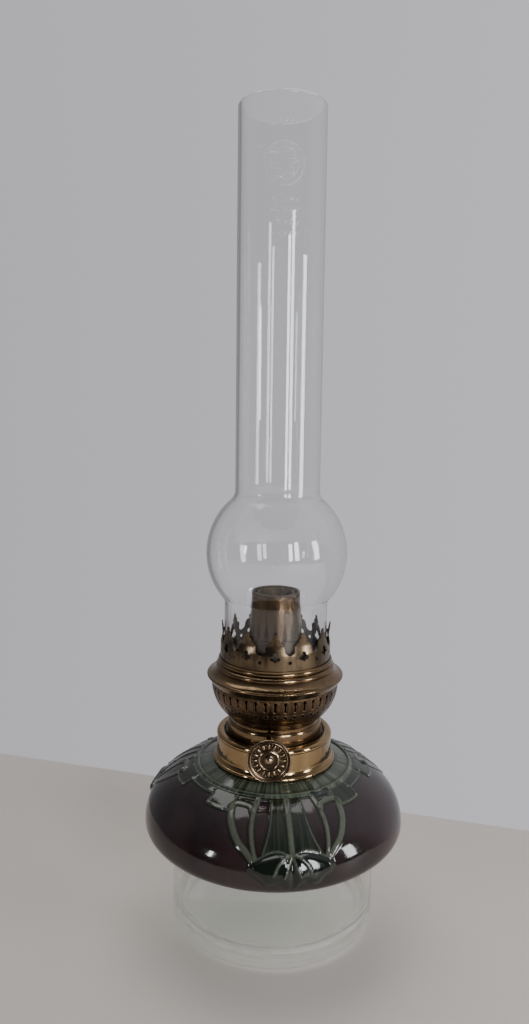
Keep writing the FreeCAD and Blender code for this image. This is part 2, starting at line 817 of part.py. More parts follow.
def rack_guide():
    """Strip on the casing's wall that keeps the rack's back up to the pinion."""
    body = new_body("rack_guide")
    bore = "(casing_radius - casing_wall)"
    start = "(rack_front + guide_gap)"
    sketch = new_sketch(body, "guide_outline", "XZ_Plane", offset=start)
    left = "rack_back + guide_gap"
    rectangle(sketch, left, left + " + guide_wall", "guide_bottom", "guide_top")
    raise_pad(body, "guide", sketch, bore + " - " + start)
    low = "guide_bottom - guide_wall"
    high = "guide_top + guide_wall"
    trim_round(body, "wall_end", bore, bore + " + guide_wall", low, high)


def on_spindle(label, corners):
    """Turned piece on the spindle's axis; heights are distances from the lamp's axis."""
    body = new_body(label)
    spin(body, "turned", corners)
    turn_to_spindle(body)
    return body


def spindle():
    on_spindle("spindle", [
        ("0", "rack_front + guide_gap"),
        ("spindle_radius", "rack_front + guide_gap"),
        ("spindle_radius", "stop_start"),
        ("stop_radius", "stop_start"),
        ("stop_radius", "stop_end"),
        ("spindle_radius", "stop_end"),
        ("spindle_radius", "knob_face - knob_depth + knob_sheet"),
        ("0", "knob_face - knob_depth + knob_sheet"),
    ])


def pinion():
    """Involute pinion in mesh with the rack, a tooth space facing it at rest."""
    teeth = int(value("pinion_teeth"))
    pitch_radius = value(PINION_RADIUS)
    pressure = math.radians(value("pressure_angle"))
    base = pitch_radius * math.cos(pressure)
    root = pitch_radius - value("tooth_root")
    tip = pitch_radius + value("tooth_tip")
    half = math.pi * value("gear_module") * value("tooth_thinning") / 4 / pitch_radius
    flank_points = 5
    flank = [(root, half + math.tan(pressure) - pressure)]
    for step in range(flank_points):
        radius = base + (tip - base) * step / (flank_points - 1)
        turn = math.acos(base / radius)
        flank.append((radius, half + math.tan(pressure) - pressure - math.tan(turn) + turn))
    points = []
    for tooth in range(teeth):
        middle = 2 * math.pi * (tooth + 0.5) / teeth
        for side, run in ((-1, flank), (1, flank[::-1])):
            for radius, angle in run:
                place = middle + side * angle
                points.append(FreeCAD.Vector(radius * math.cos(place), radius * math.sin(place), 0))
    points.append(points[0])
    width = FreeCAD.Vector(0, 0, value("gear_width"))
    blank = Part.Face(Part.makePolygon(points)).extrude(width)
    bore = Part.makeCylinder(value("spindle_radius"), value("gear_width"))
    gear = doc.addObject("Part::Feature", "pinion")
    gear.Label = "pinion"
    gear.Shape = blank.cut(bore)
    axis_turn = FreeCAD.Rotation(FreeCAD.Vector(1, 0, 0), 90)
    front = value("rack_front + guide_gap")
    seat = FreeCAD.Vector(-pitch_radius, -front, value("spindle_height"))
    gear.Placement = FreeCAD.Placement(seat, axis_turn)
    subparts.append(gear)


def spindle_bush():
    bore = "(spindle_radius + spindle_gap)"
    on_spindle("spindle_bush", [
        (bore, "bush_inner"),
        ("bush_radius", "bush_inner"),
        ("bush_radius", "bush_outer"),
        (bore, "bush_outer"),
    ])


def gland_packing():
    bore = "(spindle_radius + spindle_gap)"
    on_spindle("gland_packing", [
        (bore, "bush_outer"),
        ("bush_radius", "bush_outer"),
        ("bush_radius", "nut_end - nut_web"),
        (bore, "nut_end - nut_web"),
    ])


def gland_nut():
    """Hexagonal cap nut that squeezes the packing round the spindle."""
    body = new_body("gland_nut")
    start = "(bush_outer - nut_grip)"
    sketch = new_sketch(body, "hexagon", "XY_Plane", offset=start)
    trace(sketch, [
        (f"nut_radius * cos({angle})", f"nut_radius * sin({angle})") for angle in range(0, 360, 60)
    ])
    raise_pad(body, "blank", sketch, "nut_end - " + start)
    bore = "spindle_radius + nut_gap"
    spin(body, "bore", [
        ("0", start),
        ("bush_radius", start),
        ("bush_radius", "nut_end - nut_web"),
        (bore, "nut_end - nut_web"),
        (bore, "nut_end"),
        ("0", "nut_end"),
    ], cut=True)
    turn_to_spindle(body)


def knob_disc():
    """Dished knob face with a rolled rim and one raised ring."""
    back = "knob_face - knob_depth"
    dish = "knob_face - knob_depth + knob_sheet"
    rim = "knob_radius - knob_depth / 2"
    on_spindle("knob_disc", [
        ("spindle_radius", back),
        (rim, back),
        ("knob_radius", "knob_face - knob_depth / 2", "knob_depth / 2"),
        (rim, "knob_face", "knob_depth / 2"),
        ("knob_radius - knob_depth", dish),
        ("knob_ring + knob_ring_half", dish),
        ("knob_ring", dish + " + knob_ring_half", "knob_ring_half"),
        ("knob_ring - knob_ring_half", dish, "knob_ring_half"),
        ("spindle_radius", dish),
    ])


def knob_hub():
    on_spindle("knob_hub", [
        ("spindle_radius", "knob_face - knob_depth - hub_length"),
        ("hub_radius", "knob_face - knob_depth - hub_length"),
        ("hub_radius", "knob_face - knob_depth"),
        ("spindle_radius", "knob_face - knob_depth"),
    ])


def knob_rivet():
    seat = "knob_face - knob_depth + knob_sheet"
    on_spindle("knob_rivet", [
        ("0", seat),
        ("rivet_radius", seat),
        ("rivet_radius", seat + " + rivet_edge"),
        ("rivet_flat", seat + " + rivet_rise", "rivet_bend"),
        ("0", seat + " + rivet_rise"),
    ])


def chimney():
    """Ball chimney: straight foot, ball, long straight tube with a fire-rounded rim."""
    body = new_body("chimney")
    foot_in = "(chimney_foot - chimney_wall)"
    tube_in = "(tube_radius - chimney_wall)"
    ball_in = "(ball_radius - chimney_wall)"
    foot_join = "ball_height - sqrt(ball_radius^2 - chimney_foot^2)"
    tube_join = "ball_height + sqrt(ball_radius^2 - tube_radius^2)"
    foot_join_in = f"ball_height - sqrt({ball_in}^2 - {foot_in}^2)"
    tube_join_in = f"ball_height + sqrt({ball_in}^2 - {tube_in}^2)"
    spin(body, "glass", [
        (foot_in, PLATE_TOP),
        ("chimney_foot", PLATE_TOP),
        ("chimney_foot", foot_join),
        ("ball_radius", "ball_height", "ball_radius"),
        ("tube_radius", tube_join, "ball_radius"),
        ("tube_radius", "chimney_top - glass_rim"),
        ("tube_radius - glass_rim", "chimney_top", "glass_rim"),
        (tube_in + " + glass_rim", "chimney_top"),
        (tube_in, "chimney_top - glass_rim", "glass_rim"),
        (tube_in, tube_join_in),
        (ball_in, "ball_height", "-" + ball_in),
        (foot_in, foot_join_in, "-" + ball_in),
    ])
    round_edges(body, "foot_round", [("chimney_foot", foot_join)], "foot_fillet")
    round_edges(body, "foot_round_in", [(foot_in, foot_join_in)], "foot_fillet + chimney_wall")
    round_edges(body, "tube_round", [("tube_radius", tube_join)], "tube_fillet")
    round_edges(body, "tube_round_in", [(tube_in, tube_join_in)], "tube_fillet + chimney_wall")


glass_stand()
font_body()
tube("collar_plaster", "neck_radius", "collar_band - collar_sheet", "collar_base", "neck_top")
font_collar()
tube("collar_washer", "flange_radius - washer_width", "flange_radius", "ledge_height", FLANGE_LOW)
burner_base()
burner_neck()
basket()
gallery()
crown()
gallery_plate()
wick_casing()
tube_rim()
draught_tube()
draught_plug()
air_duct()
wick()
wick_carrier()
wick_rack()
rack_guide()
spindle()
pinion()
spindle_bush()
gland_packing()
gland_nut()
knob_disc()
knob_hub()
knob_rivet()
chimney()
doc.recompute()

for item in doc.Objects:
    if "Invalid" in item.State or "Error" in item.State:
        raise ValueError(f"{item.Label} failed: {item.State}")
os.makedirs("parts", exist_ok=True)
for part in subparts:
    if part.Shape.isNull() or not part.Shape.isValid() or not part.Shape.Solids:
        raise ValueError(f"{part.Label} has no valid solid")
    part.Shape.exportStep(f"parts/{part.Label}.step")
    box = part.Shape.BoundBox
    print(f"{part.Label:15s} {part.Shape.Volume:10.1f} mm3, z {box.ZMin:.1f} to {box.ZMax:.1f}")
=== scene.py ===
import math

import bpy
import numpy as np
from mathutils import Matrix, Vector


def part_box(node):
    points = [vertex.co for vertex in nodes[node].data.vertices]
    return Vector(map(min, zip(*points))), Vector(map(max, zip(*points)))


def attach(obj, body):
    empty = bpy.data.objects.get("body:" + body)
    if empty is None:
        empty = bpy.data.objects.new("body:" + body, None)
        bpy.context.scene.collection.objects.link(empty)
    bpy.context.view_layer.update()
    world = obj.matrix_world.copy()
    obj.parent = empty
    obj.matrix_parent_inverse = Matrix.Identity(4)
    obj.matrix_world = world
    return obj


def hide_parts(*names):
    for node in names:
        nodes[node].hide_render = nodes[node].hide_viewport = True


# Kerosene table lamp: glass stand, glazed font with tube-lined relief, round-wick
# burner and ball chimney. Metres, +Z up, the wick knob points to -Y.

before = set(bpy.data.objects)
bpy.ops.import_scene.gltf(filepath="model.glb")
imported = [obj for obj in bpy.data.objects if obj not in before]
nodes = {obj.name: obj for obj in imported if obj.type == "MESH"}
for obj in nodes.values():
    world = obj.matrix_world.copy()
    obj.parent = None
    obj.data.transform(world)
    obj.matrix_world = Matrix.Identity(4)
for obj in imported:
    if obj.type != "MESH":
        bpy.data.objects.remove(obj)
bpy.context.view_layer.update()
mm = 0.001
print("frame loaded:", len(nodes), "nodes")


class Wire:
    # a shader socket; sums on it add Math nodes to its finish
    def __init__(self, finish, socket):
        self.finish = finish
        self.socket = socket

    def __add__(self, other):
        return self.finish.maths("ADD", self, other)

    def __radd__(self, other):
        return self.finish.maths("ADD", other, self)

    def __sub__(self, other):
        return self.finish.maths("SUBTRACT", self, other)

    def __rsub__(self, other):
        return self.finish.maths("SUBTRACT", other, self)

    def __mul__(self, other):
        return self.finish.maths("MULTIPLY", self, other)

    def __rmul__(self, other):
        return self.finish.maths("MULTIPLY", other, self)

    def __pow__(self, other):
        return self.finish.maths("POWER", self, other)


class Finish:
    # the node tree of one material, or of the room's world
    def __init__(self, name, kinds=("materials", "OutputMaterial", "BsdfPrincipled")):
        store, outputKind, shaderKind = kinds
        self.material = getattr(bpy.data, store).new(name)
        self.material.use_nodes = True
        self.tree = self.material.node_tree
        self.tree.nodes.clear()
        self.output = self.tree.nodes.new("ShaderNode" + outputKind)
        self.shader = self.node(shaderKind)
        self.link(self.shader, self.output.inputs["Surface"])

    def link(self, wire, socket):
        self.tree.links.new(wire.socket, socket)

    def node(self, kind, settings=None, inputs=None, output=0):
        made = self.tree.nodes.new("ShaderNode" + kind)
        for name, setting in (settings or {}).items():
            setattr(made, name, setting)
        for name, given in (inputs or {}).items():
            if isinstance(given, Wire):
                self.link(given, made.inputs[name])
            else:
                made.inputs[name].default_value = given
        return Wire(self, made.outputs[output])

    def set(self, **given):
        # plain numbers and colours go straight on the shader's own sockets
        shader = self.shader.socket.node
        for name, value in given.items():
            socket = shader.inputs[name.replace("_", " ")]
            if isinstance(value, Wire):
                self.link(value, socket)
            else:
                socket.default_value = value

    def xyz(self, where):
        parts = self.node("SeparateXYZ", {}, {0: where}).socket.node
        return [Wire(self, output) for output in parts.outputs]

    def largest(self, *values):
        most = values[0]
        for value in values[1:]:
            most = self.maths("MAXIMUM", most, value)
        return most

    def size(self, value):
        return self.maths("ABSOLUTE", value)

    def fade(self, value, near, far):
        # 1 up to the near value, 0 from the far one
        return self.span(value, near, far, 1.0, 0.0)

    def maths(self, operation, first, second=0.0, third=0.0):
        return self.node("Math", {"operation": operation}, {0: first, 1: second, 2: third})

    def place(self, scale=(1, 1, 1)):
        here = self.node("TexCoord", output=3)
        return self.node("Mapping", {}, {"Vector": here, "Scale": scale})

    def noise(self, scale, detail=3.0, roughness=0.55, where=None):
        spot = where or self.place()
        return self.node("TexNoise", {}, {
            "Vector": spot, "Scale": scale, "Detail": detail, "Roughness": roughness})

    def span(self, value, low, high, toLow=0.0, toHigh=1.0):
        return self.node("MapRange", {"interpolation_type": "SMOOTHSTEP"}, {
            "Value": value, "From Min": low, "From Max": high, "To Min": toLow, "To Max": toHigh})

    def mix(self, factor, first, second, how="MIX"):
        first, second = [(*c, 1) if isinstance(c, tuple) else c for c in (first, second)]
        return self.node("Mix", {"data_type": "RGBA", "blend_type": how}, {
            0: factor, 6: first, 7: second}, output=2)

    def attribute(self, name):
        return self.node("Attribute", {"attribute_name": name}, output=2)

    def bump(self, height, distance, strength=1.0):
        return self.node("Bump", {}, {
            "Height": height, "Distance": distance, "Strength": strength})

    def polar(self):
        # angle about the lamp's axis, radius and height
        x, y, z = self.xyz(self.place())
        return self.maths("ARCTAN2", y, x), (x * x + y * y) ** 0.5, z

    def letLampsThrough(self):
        # lamps' light goes straight through the glass, so it casts only a faint shadow
        clear = self.node("BsdfTransparent", {}, {"Color": (0.93, 0.95, 0.94, 1)})
        lamps = self.node("LightPath", output="Is Shadow Ray")
        both = self.node("MixShader", {}, {0: lamps, 1: self.shader, 2: clear})
        self.link(both, self.output.inputs["Surface"])


def paint(finish, *names):
    for name in names:
        for slot in nodes[name].material_slots:
            slot.material = finish.material


# how every brass wears, and how shade is painted into its hollows: sizes in mm, the rest as shares
brassWearAndShade = {
    "hollowReach": 3.5, "hollows": (0.35, 0.95), "hollowTint": (0.35, 0.32, 0.32),
    "tarnished": (0.42, 0.86), "tarnishRough": 0.14, "dirtRough": 0.3, "smoothest": 0.06,
    "scorchBand": (2.6, 0.9), "scorchWander": 4, "scorchShare": 0.85, "scorch": (0.020, 0.014, 0.010),
    "embossRise": 14.0, "sunkShare": 0.85, "sunk": (0.016, 0.010, 0.007), "bump": 0.05,
}


def agedBrass(name, look):
    # turned or stamped brass: fine turning lines, blotches of tarnish, and brown hollows that are partly
    # dirt and partly painted shade
    f = Finish(name)
    wear = brassWearAndShade
    dull = look["dull"]
    blotches = f.noise(95, 5, 0.62)
    specks = f.noise(900, 3, 0.6)
    lines = f.noise(1.0, 2, 0.5, f.place(look["lines"]))
    tarnish = f.span(blotches + specks * 0.25, *wear["tarnished"]) * look["patina"]
    # painted shade: ambient occlusion darkens the hollows, partly for dirt and partly for the shade and
    # shadow that fall there
    hollow = f.node("AmbientOcclusion", {"samples": 6}, {"Distance": wear["hollowReach"] * mm}, output=1)
    dirtAndShade = f.span(hollow, *wear["hollows"], look["grimeAndShade"], 0.0)
    base = f.mix(tarnish, look["bright"], dull)
    wornAndShaded = f.mix(dirtAndShade, base, tuple(part * tint for part, tint in zip(dull, wear["hollowTint"])))
    rough = look["roughness"] + tarnish * wear["tarnishRough"]
    rough = rough + (lines - 0.5) * look["streaks"] + dirtAndShade * wear["dirtRough"]
    height = lines * look["streaks"] + specks * 0.25 + blotches * 0.3
    if "scorch" in look:
        # heat has burnt the edge of the mouth brown
        _, _, up = f.polar()
        wander = (f.noise(160, 3, 0.6) - 0.5) * wear["scorchWander"] * mm
        low, high = [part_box(look["scorch"])[1].z - depth * mm for depth in wear["scorchBand"]]
        burnt = f.span(up + wander, low, high)
        wornAndShaded = f.mix(burnt * wear["scorchShare"], wornAndShaded, wear["scorch"])
        rough = rough + burnt * wear["dirtRough"]
    if "emboss" in look:
        raised, sunk = look["emboss"](f)
        height = height + raised * wear["embossRise"]
        wornAndShaded = f.mix(sunk * wear["sunkShare"], wornAndShaded, wear["sunk"])
    f.set(Base_Color=wornAndShaded, Metallic=1.0, Roughness=f.largest(rough, wear["smoothest"]),
          Normal=f.bump(height, wear["bump"] * mm, 0.5))
    return f


# the basket's stamped rows: heights, radii and reaches in mm
basketRows = {
    "count": 42, "radius": 31.5, "slotMiddle": 123.45, "slotHalf": 1.75, "slotLip": 1.35,
    "holeHeight": 117.8, "holeLip": 1.05, "dotHeight": 119.9, "lineMiddle": 119.3, "lineReach": 7.1,
}


def basketPattern(f):
    # a raised lip round every slot and pinhole, and a sunk dot between the slots
    rows = basketRows
    angle, _, height = f.polar()
    turns = angle * (rows["count"] / math.tau) + 0.25 * rows["count"]
    pitch = math.tau * rows["radius"] / rows["count"]
    across = (f.maths("FRACT", turns + 0.5) - 0.5) * pitch
    between = (f.maths("FRACT", turns) - 0.5) * pitch
    up = height * 1000.0
    beyond = f.largest(f.size(up - rows["slotMiddle"]) - rows["slotHalf"], 0.0)
    fromSlot = (across * across + beyond * beyond) ** 0.5
    hole = up - rows["holeHeight"]
    fromHole = (across * across + hole * hole) ** 0.5
    dot = up - rows["dotHeight"]
    fromDot = (between * between + dot * dot) ** 0.5
    fromLine = f.size(f.size(up - rows["lineMiddle"]) - rows["lineReach"])
    lips = f.fade(f.size(fromSlot - rows["slotLip"]), 0.1, 0.5)
    rings = f.fade(f.size(fromHole - rows["holeLip"]), 0.1, 0.4)
    lines = f.fade(fromLine, 0.1, 0.45)
    return f.largest(lips, rings, lines), f.fade(fromDot, 0.35, 0.55)


# distances from the lamp's axis, in mm, where the knob's dish and its high parts lie
knobDish = {"floor": 46.74, "high": 46.98, "back": (46.3, 46.5), "ragged": 0.12}


def knobPattern(f):
    # the knob's dish is painted dark, and only what stands high keeps the bright brass
    out = f.xyz(f.place())[1] * -1000.0
    ragged = f.noise(1300, 3, 0.6)
    dish = f.fade(out + (ragged - 0.5) * knobDish["ragged"], knobDish["floor"], knobDish["high"])
    return ragged * 0.05, dish * f.span(out, *knobDish["back"])


turned = (30, 30, 2600)
drawnUp = (1400, 1400, 25)
stamped = (400, 400, 400)
brasses = {
    "polishedBrass": {"bright": (0.403, 0.281, 0.144), "dull": (0.194, 0.122, 0.0612), "lines": turned,
                      "roughness": 0.08, "patina": 0.4, "streaks": 0.08, "grimeAndShade": 0.8},
    "burnerBrass": {"bright": (0.264, 0.182, 0.102), "dull": (0.099, 0.0594, 0.033), "lines": turned,
                    "roughness": 0.12, "patina": 0.65, "streaks": 0.12, "grimeAndShade": 0.9},
    "basketBrass": {"bright": (0.18, 0.119, 0.0684), "dull": (0.0612, 0.0374, 0.023), "lines": turned,
                    "roughness": 0.24, "patina": 0.9, "streaks": 0.08, "grimeAndShade": 0.95,
                    "emboss": basketPattern},
    "crownBrass": {"bright": (0.178, 0.132, 0.0825), "dull": (0.0561, 0.0396, 0.0251), "lines": turned,
                   "roughness": 0.19, "patina": 0.8, "streaks": 0.10, "grimeAndShade": 0.9},
    "coneBrass": {"bright": (0.150, 0.098, 0.056), "dull": (0.055, 0.035, 0.021), "lines": drawnUp,
                  "roughness": 0.15, "patina": 0.7, "streaks": 0.16, "grimeAndShade": 0.85,
                  "scorch": "wick_casing"},
    "darkBrass": {"bright": (0.10, 0.07, 0.048), "dull": (0.035, 0.026, 0.018), "lines": turned,
                  "roughness": 0.42, "patina": 0.9, "streaks": 0.12, "grimeAndShade": 0.8},
    "knobBrass": {"bright": (0.391, 0.289, 0.183), "dull": (0.102, 0.068, 0.0442), "lines": stamped,
                  "roughness": 0.18, "patina": 0.6, "streaks": 0.04, "grimeAndShade": 1.0,
                  "emboss": knobPattern},
}
brassOf = {name: agedBrass(name, look) for name, look in brasses.items()}

etchSizes = {
    "turn": 2.0, "tube": 21.6, "skin": (20.9, 21.2),    # degrees from the front, and mm
    "ringHeight": 379.0, "ring": 9.6, "innerRing": 0.72,
    "petals": 6.0, "petalSwing": 1.6, "petalMiddle": 4.6,
    "dashes": 2.1, "dashReach": 7.5, "dashRows": (-18.5, 15.5, 20.5, 26, 31), "reach": 14,
}
chimneyLook = {"tint": (0.985, 0.99, 0.99), "wobble": 0.05, "roughness": 0.0, "drawn": (90, 90, 6)}
standLook = {"tint": (0.93, 0.95, 0.935), "wobble": 0.12, "roughness": 0.01, "drawn": (55, 55, 30)}


def etching(f):
    # a plain ring of petals, dashes under it and a dashed line below the rim, on the front only
    sizes = etchSizes
    angle, radius, height = f.polar()
    across = (angle + math.radians(90 - sizes["turn"])) * sizes["tube"]
    up = height * 1000.0 - sizes["ringHeight"]
    away = (across * across + up * up) ** 0.5
    bearing = f.maths("ARCTAN2", up, across)
    outer = f.fade(f.size(away - sizes["ring"]), 0.15, 0.4)
    inner = f.fade(f.size(away - sizes["ring"] * sizes["innerRing"]), 0.1, 0.3)
    petals = f.maths("SINE", bearing * sizes["petals"]) * sizes["petalSwing"] + sizes["petalMiddle"]
    flower = f.fade(f.size(away - petals), 0.2, 0.55)
    dashes = f.span(f.maths("SINE", across * sizes["dashes"]), 0.0, 0.5)
    near = f.fade(f.size(across), sizes["dashReach"] - 1, sizes["dashReach"])
    marks = f.largest(outer, inner, flower)
    for drop in sizes["dashRows"]:
        row = f.fade(f.size(up + drop), 0.5, 0.8)
        marks = f.largest(marks, row * dashes * near)
    wear = f.noise(420, 3, 0.6)
    skin = f.span(radius, sizes["skin"][0] * mm, sizes["skin"][1] * mm)
    front = skin * f.fade(f.size(across), sizes["reach"], sizes["reach"] + 1)
    return marks * front * f.span(wear, 0.32, 0.5)


def clearGlass(name, look, marks=None):
    # waviness of the glass runs along the tube, as it was drawn
    f = Finish(name)
    tint = look["tint"]
    waves = f.noise(1.0, 2, 0.5, f.place(look["drawn"]))
    specks = f.noise(1600, 2, 0.5)
    cloudy = f.span(specks, 0.62, 0.8, look["roughness"], look["roughness"] + 0.08)
    colour = f.mix(f.span(specks, 0.6, 0.9, 0.0, 0.2), tint, tuple(0.96 * c for c in tint))
    if marks:
        etched = marks(f)
        cloudy = f.largest(cloudy, etched * 0.6)
        colour = f.mix(etched * 0.5, colour, (0.62, 0.65, 0.68))
    f.set(Base_Color=colour, Transmission_Weight=1.0, IOR=1.5, Roughness=cloudy,
          Normal=f.bump(waves, look["wobble"] * mm, 0.6))
    f.letLampsThrough()
    return f


def plainPowder(name, light, dark, scale, roughness):
    f = Finish(name)
    grain = f.noise(scale, 6, 0.7)
    f.set(Base_Color=f.mix(f.span(grain, 0.3, 0.7), light, dark), Roughness=roughness,
          Normal=f.bump(grain, 0.15 * mm, 0.7))
    return f


def corkFinish():
    f = Finish("corkWasher")
    cells = f.node("TexVoronoi", {"feature": "F1"}, {"Vector": f.place(), "Scale": 900.0})
    grain = f.noise(500, 5, 0.7)
    pits = f.span(cells, 0.1, 0.5)
    f.set(Base_Color=f.mix(pits * grain, (0.20, 0.115, 0.055), (0.46, 0.31, 0.17)),
          Roughness=0.9, Normal=f.bump(cells + grain, 0.2 * mm, 0.8))
    return f


braid = {"round": 60.0, "along": 5200.0, "singed": 7}


def wickFinish():
    # round braid: two thread directions wrap the tube, singed at the top
    f = Finish("wickBraid")
    angle, _, height = f.polar()
    left = f.maths("SINE", angle * braid["round"] + height * braid["along"])
    right = f.maths("SINE", angle * braid["round"] - height * braid["along"])
    weave = f.largest(left, right)
    fuzz = f.noise(1500, 4, 0.7)
    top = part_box("wick")[1].z
    singe = f.span(height + (fuzz - 0.5) * 2 * mm, top - braid["singed"] * mm, top - 1 * mm)
    cotton = f.mix(f.span(weave, -0.4, 1.0), (0.42, 0.36, 0.27), (0.74, 0.69, 0.58))
    f.set(Base_Color=f.mix(singe, cotton, (0.016, 0.013, 0.011)), Roughness=0.95,
          Sheen_Weight=0.3, Normal=f.bump(weave + fuzz, 0.25 * mm, 0.9))
    return f


paint(brassOf["polishedBrass"], "font_collar")
paint(brassOf["burnerBrass"], "burner_base", "burner_neck", "gallery", "spindle", "spindle_bush",
      "gland_nut")
paint(brassOf["basketBrass"], "basket")
paint(brassOf["crownBrass"], "crown")
paint(brassOf["coneBrass"], "wick_casing")
paint(brassOf["darkBrass"], "gallery_plate", "tube_rim", "draught_tube", "draught_plug", "air_duct",
      "wick_carrier", "wick_rack", "rack_guide", "pinion")
paint(brassOf["knobBrass"], "knob_disc", "knob_hub", "knob_rivet")
paint(clearGlass("chimneyGlass", chimneyLook, etching), "chimney")
paint(clearGlass("standGlass", standLook), "glass_stand")
paint(plainPowder("plaster", (0.62, 0.58, 0.50), (0.42, 0.38, 0.31), 700, 0.9), "collar_plaster")
paint(plainPowder("feltPacking", (0.22, 0.18, 0.14), (0.10, 0.08, 0.06), 1400, 0.95), "gland_packing")
paint(corkFinish(), "collar_washer")
paint(wickFinish(), "wick")
print("finishes made")


fontSizes = {
    "columns": 720, "rows": 78, "rowStep": 0.53,
    "ornaments": 3, "ornamentTurn": 7.0,    # degrees, where the front ornament's stem stands
}
# the outside is four arcs, one below the other: centres as radius and height, in mm and degrees
shoulderArc = {"centre": (23.799, 32.502), "radius": 52.8}
bellyArc = {"centre": (46.9, 54.5), "radius": 20.9, "sweep": 43.6}
underArc = {"centre": (61.9, 54.5), "radius": 5.9, "sweep": 51.5}
soleArc = {"centre": (45.466, 75.161), "radius": 32.3}
ridgeFoot = 41.6
shoulderStart = math.degrees(math.acos((ridgeFoot - shoulderArc["centre"][0]) / shoulderArc["radius"]))
shoulderLength = shoulderArc["radius"] * math.radians(shoulderStart - bellyArc["sweep"])
bellyLength = bellyArc["radius"] * math.radians(bellyArc["sweep"])


def onArc(arc, angle, inset=0):
    turn, reach = math.radians(angle), arc["radius"] - inset
    return arc["centre"][0] + reach * math.cos(turn), arc["centre"][1] + reach * math.sin(turn)


def alongArc(arc, fromAngle, toAngle, count, inset=0):
    return [onArc(arc, fromAngle + (toAngle - fromAngle) * k / count, inset) for k in range(count + 1)]


def fontProfile(down):
    # radius and height, a distance down the font from the ridge's foot
    if down < shoulderLength:
        return onArc(shoulderArc, shoulderStart - math.degrees(down / shoulderArc["radius"]))
    down -= shoulderLength
    if down < bellyLength:
        return onArc(bellyArc, bellyArc["sweep"] - math.degrees(down / bellyArc["radius"]))
    return onArc(underArc, -math.degrees((down - bellyLength) / underArc["radius"]))


def deselectAll():
    for chosen in bpy.context.selected_objects:
        chosen.select_set(False)


def takeUp(piece):
    deselectAll()
    piece.select_set(True)
    bpy.context.view_layer.objects.active = piece


def spinProfile(name, profile, steps, axis=(0, 0, 1), centre=(0, 0, 0)):
    # one corner grows point by point into the wall's outline, then spins round the axis
    deselectAll()
    bpy.ops.mesh.primitive_plane_add(size=1 * mm, location=profile[0])
    piece = bpy.context.object
    piece.name = name
    bpy.ops.object.transform_apply(location=True, rotation=True, scale=True)
    bpy.ops.object.mode_set(mode="EDIT")
    bpy.ops.mesh.select_mode(type="VERT")
    bpy.ops.mesh.merge(type="CENTER")
    for here, there in zip(profile, profile[1:]):
        step = Vector(there) - Vector(here)
        bpy.ops.mesh.extrude_vertices_move(TRANSFORM_OT_translate={"value": step})
    bpy.ops.mesh.select_all(action="SELECT")
    bpy.ops.mesh.spin(steps=steps, angle=math.tau, center=centre, axis=axis)
    bpy.ops.mesh.select_all(action="SELECT")
    bpy.ops.mesh.remove_doubles(threshold=0.004 * mm)
    bpy.ops.mesh.normals_make_consistent(inside=False)
    bpy.ops.object.mode_set(mode="OBJECT")
    return piece


def finishPiece(piece, finish, body, sharpAngle, standsFor=()):
    takeUp(piece)
    bpy.ops.object.transform_apply(location=True, rotation=True, scale=True)
    bpy.ops.object.shade_smooth_by_angle(angle=math.radians(sharpAngle))
    piece.data.materials.clear()
    piece.data.materials.append(finish.material)
    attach(piece, body)
    if standsFor:
        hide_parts(*standsFor)


def smoothLine(points, cuts=6):
    # a curve through the points, each span cut into short steps
    spots = np.array(points, float)
    ends = np.vstack([2 * spots[0] - spots[1], spots, 2 * spots[-1] - spots[-2]])
    made = []
    for before, first, second, after in zip(ends, ends[1:], ends[2:], ends[3:]):
        for k in range(cuts):
            t = k / cuts
            made.append(0.5 * (2 * first + (second - before) * t
                               + (2 * before - 5 * first + 4 * second - after) * t * t
                               + (3 * first - before - 3 * second + after) * t ** 3))
    made.append(spots[-1])
    return np.array(made)


# the ornament is drawn flat: sideways in degrees from its stem, downwards in mm from the ridge
# every rib: where it runs, and how wide it is at its two ends, in mm
ribs = {
    "stem": ([(0.1, -1), (0, 8), (0, 17), (0, 27.5)], 1.35, 1.15),
    "panelEdge": ([(8.9, 1.5), (9.0, 9), (9.5, 16), (10.6, 22), (12.0, 27.5)], 0.42, 0.42),
    "windowRib": ([(17.4, -1), (18.2, 5), (18.7, 10), (18.5, 15), (17.7, 20), (16.4, 25),
                   (15.0, 29)], 1.2, 0.85),
    "upright": ([(31.5, -1), (31.6, 4), (32.0, 7.5)], 0.55, 0.55),
    "crossbar": ([(19.4, 8.2), (21.0, 5.6), (25.5, 4.7), (30.0, 5.0), (32.2, 7.4)], 1.25, 1.25),
    "outerRib": ([(31.8, 7.4), (29.9, 13), (26.7, 18.5), (22.9, 23.5), (18.7, 27.3),
                  (16.2, 30.0)], 1.5, 1.2),
    "wingEdge": ([(32.6, 9.6), (38.0, 9.9), (43.0, 9.8), (47.3, 9.6)], 0.5, 0.5),
    "wingTip": ([(47.3, 9.6), (47.6, 6.5), (47.4, 3.6)], 0.5, 0.4),
    "bandEdge": ([(47.4, 4.6), (50.0, 4.3), (55.0, 4.2), (60.1, 4.2)], 0.4, 0.4),
    "petalTop": ([(1.2, 28.0), (3.6, 29.2), (6.0, 32.0), (7.4, 35.5)], 0.6, 0.5),
    "petalSpine": ([(3.2, 36.5), (1.6, 32.5), (0.4, 29.0)], 0.5, 0.8),
    "cupTop": ([(1.6, 27.6), (5.0, 26.2), (9.0, 26.6), (12.5, 28.6), (15.4, 30.4)], 0.45, 0.45),
}
